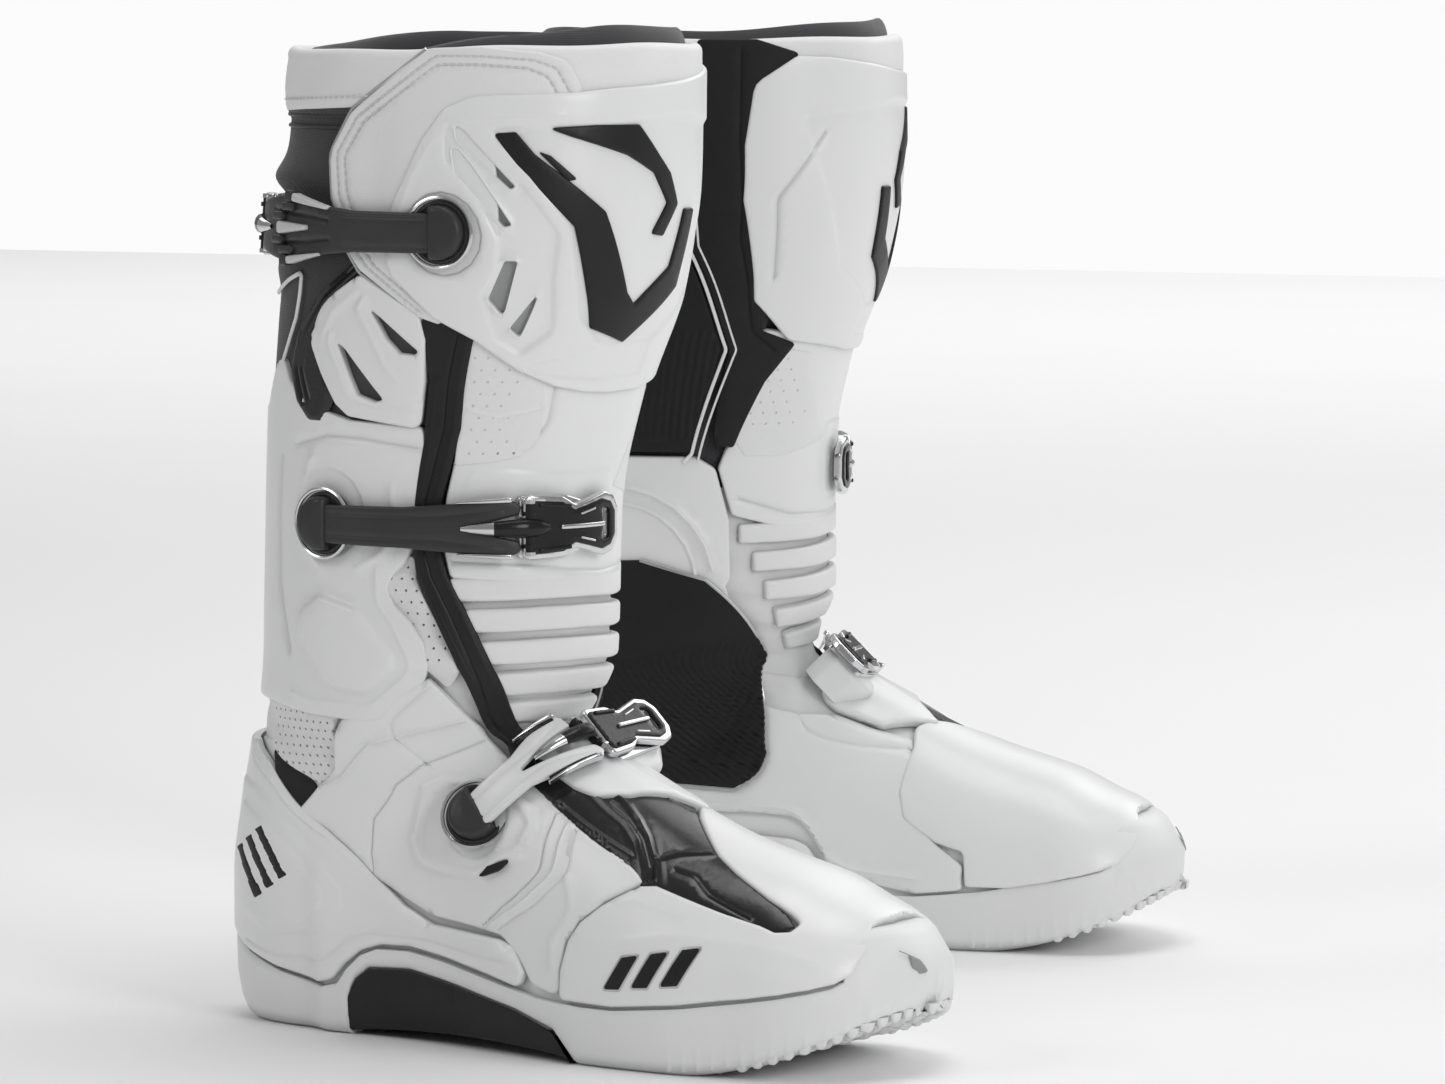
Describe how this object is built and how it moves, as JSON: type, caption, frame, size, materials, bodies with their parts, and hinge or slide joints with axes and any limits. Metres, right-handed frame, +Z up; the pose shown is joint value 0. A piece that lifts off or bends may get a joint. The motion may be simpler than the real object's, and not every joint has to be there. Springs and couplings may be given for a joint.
{
  "type": "off-road riding boots",
  "caption": "Pair of tall off-road riding boots with hinged ankles, moulded shin and calf shells, soft collars, cup soles and buckled straps.",
  "frame": {"origin": "floor under the middle of the pair's bounding box", "axes": "+X towards the toes, +Y from the right boot to the left boot, +Z up"},
  "size_m": [0.3355, 0.4434, 0.391],
  "materials": {
    "white_shell": "satin moulded polyurethane",
    "white_microfibre": "fine-grained coated microfibre",
    "black_rubber": "matt ribbed rubber",
    "dark_flex": "glossy flex panel",
    "charcoal_textile": "stretch textile",
    "lining": "padded lining",
    "bellows_white": "perforated microfibre",
    "sole_white": "moulded rubber",
    "steel": "plain spring steel",
    "foam": "footbed foam",
    "strap_dark": "ribbed strap",
    "strap_white": "white strap",
    "buckle_metal": "polished",
    "disc_dark": "moulded nylon"
  },
  "bodies": {
    "right_foot": {"right_outsole": "sole_white", "right_arch_insert": "black_rubber", "right_shank_plate": "steel", "right_footbed": "foam", "right_heel_counter": "white_shell", "right_foot_shell": "white_shell", "right_vamp_flex": "dark_flex", "right_instep_plate": "white_shell", "right_toe_cap": "white_shell", "right_inner_boot_foot": "lining", "right_grip_panel_lower": "black_rubber"},
    "right_shaft": {"right_inner_boot_shaft": "lining", "right_calf_shell": "white_shell", "right_shin_guard_lower": "white_shell", "right_calf_plate": "white_shell", "right_shin_plate": "white_shell", "right_collar": "white_microfibre", "right_calf_gaiter": "charcoal_textile", "right_grip_panel_upper": "black_rubber", "right_shaft_catches": "buckle_metal", "right_ankle_bellows": "bellows_white"},
    "right_top_disc": {"right_top_disc": "disc_dark"},
    "right_top_strap": {"right_top_strap": "strap_dark"},
    "right_top_lever": {"right_top_lever": "buckle_metal"},
    "right_mid_disc": {"right_mid_disc": "disc_dark"},
    "right_mid_strap": {"right_mid_strap": "strap_dark"},
    "right_mid_lever": {"right_mid_lever": "buckle_metal"},
    "right_low_disc": {"right_low_disc": "disc_dark"},
    "right_low_strap": {"right_low_strap": "strap_white"},
    "right_low_lever": {"right_low_lever": "buckle_metal"},
    "left_foot": {"left_outsole": "sole_white", "left_arch_insert": "black_rubber", "left_shank_plate": "steel", "left_footbed": "foam", "left_heel_counter": "white_shell", "left_foot_shell": "white_shell", "left_vamp_flex": "dark_flex", "left_instep_plate": "white_shell", "left_toe_cap": "white_shell", "left_inner_boot_foot": "lining", "left_grip_panel_lower": "black_rubber"},
    "left_shaft": {"left_inner_boot_shaft": "lining", "left_calf_shell": "white_shell", "left_shin_guard_lower": "white_shell", "left_calf_plate": "white_shell", "left_shin_plate": "white_shell", "left_collar": "white_microfibre", "left_calf_gaiter": "charcoal_textile", "left_grip_panel_upper": "black_rubber", "left_shaft_catches": "buckle_metal", "left_ankle_bellows": "bellows_white"},
    "left_top_disc": {"left_top_disc": "disc_dark"},
    "left_top_strap": {"left_top_strap": "strap_dark"},
    "left_top_lever": {"left_top_lever": "buckle_metal"},
    "left_mid_disc": {"left_mid_disc": "disc_dark"},
    "left_mid_strap": {"left_mid_strap": "strap_dark"},
    "left_mid_lever": {"left_mid_lever": "buckle_metal"},
    "left_low_disc": {"left_low_disc": "disc_dark"},
    "left_low_strap": {"left_low_strap": "strap_white"},
    "left_low_lever": {"left_low_lever": "buckle_metal"}
  },
  "joints": [
    {"name": "pair_spread", "type": "slide", "parent": "right_foot", "child": "left_foot", "axis": [0, 1, 0], "range_m": [0, 0.1]},
    {"name": "right_ankle", "type": "hinge", "parent": "right_foot", "child": "right_shaft", "pos_m": [-0.06248, -0.1425, 0.155], "axis": [0.1564, 0.9877, 0], "range_deg": [-6, 6], "deforming": ["right_ankle_bellows"]},
    {"name": "right_top_swivel", "type": "hinge", "parent": "right_shaft", "child": "right_top_disc", "pos_m": [-0.02089, -0.20953, 0.314], "axis": [0.0369, -0.9993, 0], "range_deg": [-5, 5]},
    {"name": "right_top_swing", "type": "hinge", "parent": "right_top_disc", "child": "right_top_strap", "pos_m": [-0.04011, -0.21131, 0.314], "axis": [0, 0, 1], "range_deg": [0, 50]},
    {"name": "right_top_open", "type": "hinge", "parent": "right_top_strap", "child": "right_top_lever", "pos_m": [-0.11774, -0.1651, 0.314], "axis": [0, 0, 1], "range_deg": [0, 66]},
    {"name": "right_mid_swivel", "type": "hinge", "parent": "right_shaft", "child": "right_mid_disc", "pos_m": [-0.0766, -0.19735, 0.201], "axis": [-0.2537, -0.9673, 0], "range_deg": [-5, 5]},
    {"name": "right_mid_swing", "type": "hinge", "parent": "right_mid_disc", "child": "right_mid_strap", "pos_m": [-0.05916, -0.20341, 0.201], "axis": [0, 0, -1], "range_deg": [0, 50]},
    {"name": "right_mid_open", "type": "hinge", "parent": "right_mid_strap", "child": "right_mid_lever", "pos_m": [0.00492, -0.18721, 0.201], "axis": [0, 0, -1], "range_deg": [0, 83]},
    {"name": "right_low_swivel", "type": "hinge", "parent": "right_foot", "child": "right_low_disc", "pos_m": [-0.01449, -0.19111, 0.09], "axis": [0.1111, -0.9003, 0.4209], "range_deg": [-5, 5]},
    {"name": "right_low_swing", "type": "hinge", "parent": "right_low_disc", "child": "right_low_strap", "pos_m": [-0.00748, -0.19508, 0.09755], "axis": [0.6984, -0.1106, -0.7071], "range_deg": [0, 45]},
    {"name": "right_low_open", "type": "hinge", "parent": "right_low_strap", "child": "right_low_lever", "pos_m": [0.02143, -0.16541, 0.11946], "axis": [0.6984, -0.1106, -0.7071], "range_deg": [0, 15]},
    {"name": "left_ankle", "type": "hinge", "parent": "left_foot", "child": "left_shaft", "pos_m": [-0.08858, 0.1425, 0.155], "axis": [-0.1564, 0.9877, 0], "range_deg": [-6, 6], "deforming": ["left_ankle_bellows"]},
    {"name": "left_top_swivel", "type": "hinge", "parent": "left_shaft", "child": "left_top_disc", "pos_m": [-0.04699, 0.20953, 0.314], "axis": [-0.0369, -0.9993, 0], "range_deg": [-5, 5]},
    {"name": "left_top_swing", "type": "hinge", "parent": "left_top_disc", "child": "left_top_strap", "pos_m": [-0.06621, 0.21131, 0.314], "axis": [0, 0, -1], "range_deg": [0, 50]},
    {"name": "left_top_open", "type": "hinge", "parent": "left_top_strap", "child": "left_top_lever", "pos_m": [-0.14384, 0.1651, 0.314], "axis": [0, 0, -1], "range_deg": [0, 66]},
    {"name": "left_mid_swivel", "type": "hinge", "parent": "left_shaft", "child": "left_mid_disc", "pos_m": [-0.1027, 0.19735, 0.201], "axis": [0.2537, -0.9673, 0], "range_deg": [-5, 5]},
    {"name": "left_mid_swing", "type": "hinge", "parent": "left_mid_disc", "child": "left_mid_strap", "pos_m": [-0.08526, 0.20341, 0.201], "axis": [0, 0, 1], "range_deg": [0, 50]},
    {"name": "left_mid_open", "type": "hinge", "parent": "left_mid_strap", "child": "left_mid_lever", "pos_m": [-0.02118, 0.18721, 0.201], "axis": [0, 0, 1], "range_deg": [0, 83]},
    {"name": "left_low_swivel", "type": "hinge", "parent": "left_foot", "child": "left_low_disc", "pos_m": [-0.04059, 0.19111, 0.09], "axis": [-0.1111, -0.9003, -0.4209], "range_deg": [-5, 5]},
    {"name": "left_low_swing", "type": "hinge", "parent": "left_low_disc", "child": "left_low_strap", "pos_m": [-0.03358, 0.19508, 0.09755], "axis": [-0.6984, -0.1106, 0.7071], "range_deg": [0, 45]},
    {"name": "left_low_open", "type": "hinge", "parent": "left_low_strap", "child": "left_low_lever", "pos_m": [-0.00467, 0.16541, 0.11946], "axis": [-0.6984, -0.1106, 0.7071], "range_deg": [0, 15]}
  ]
}
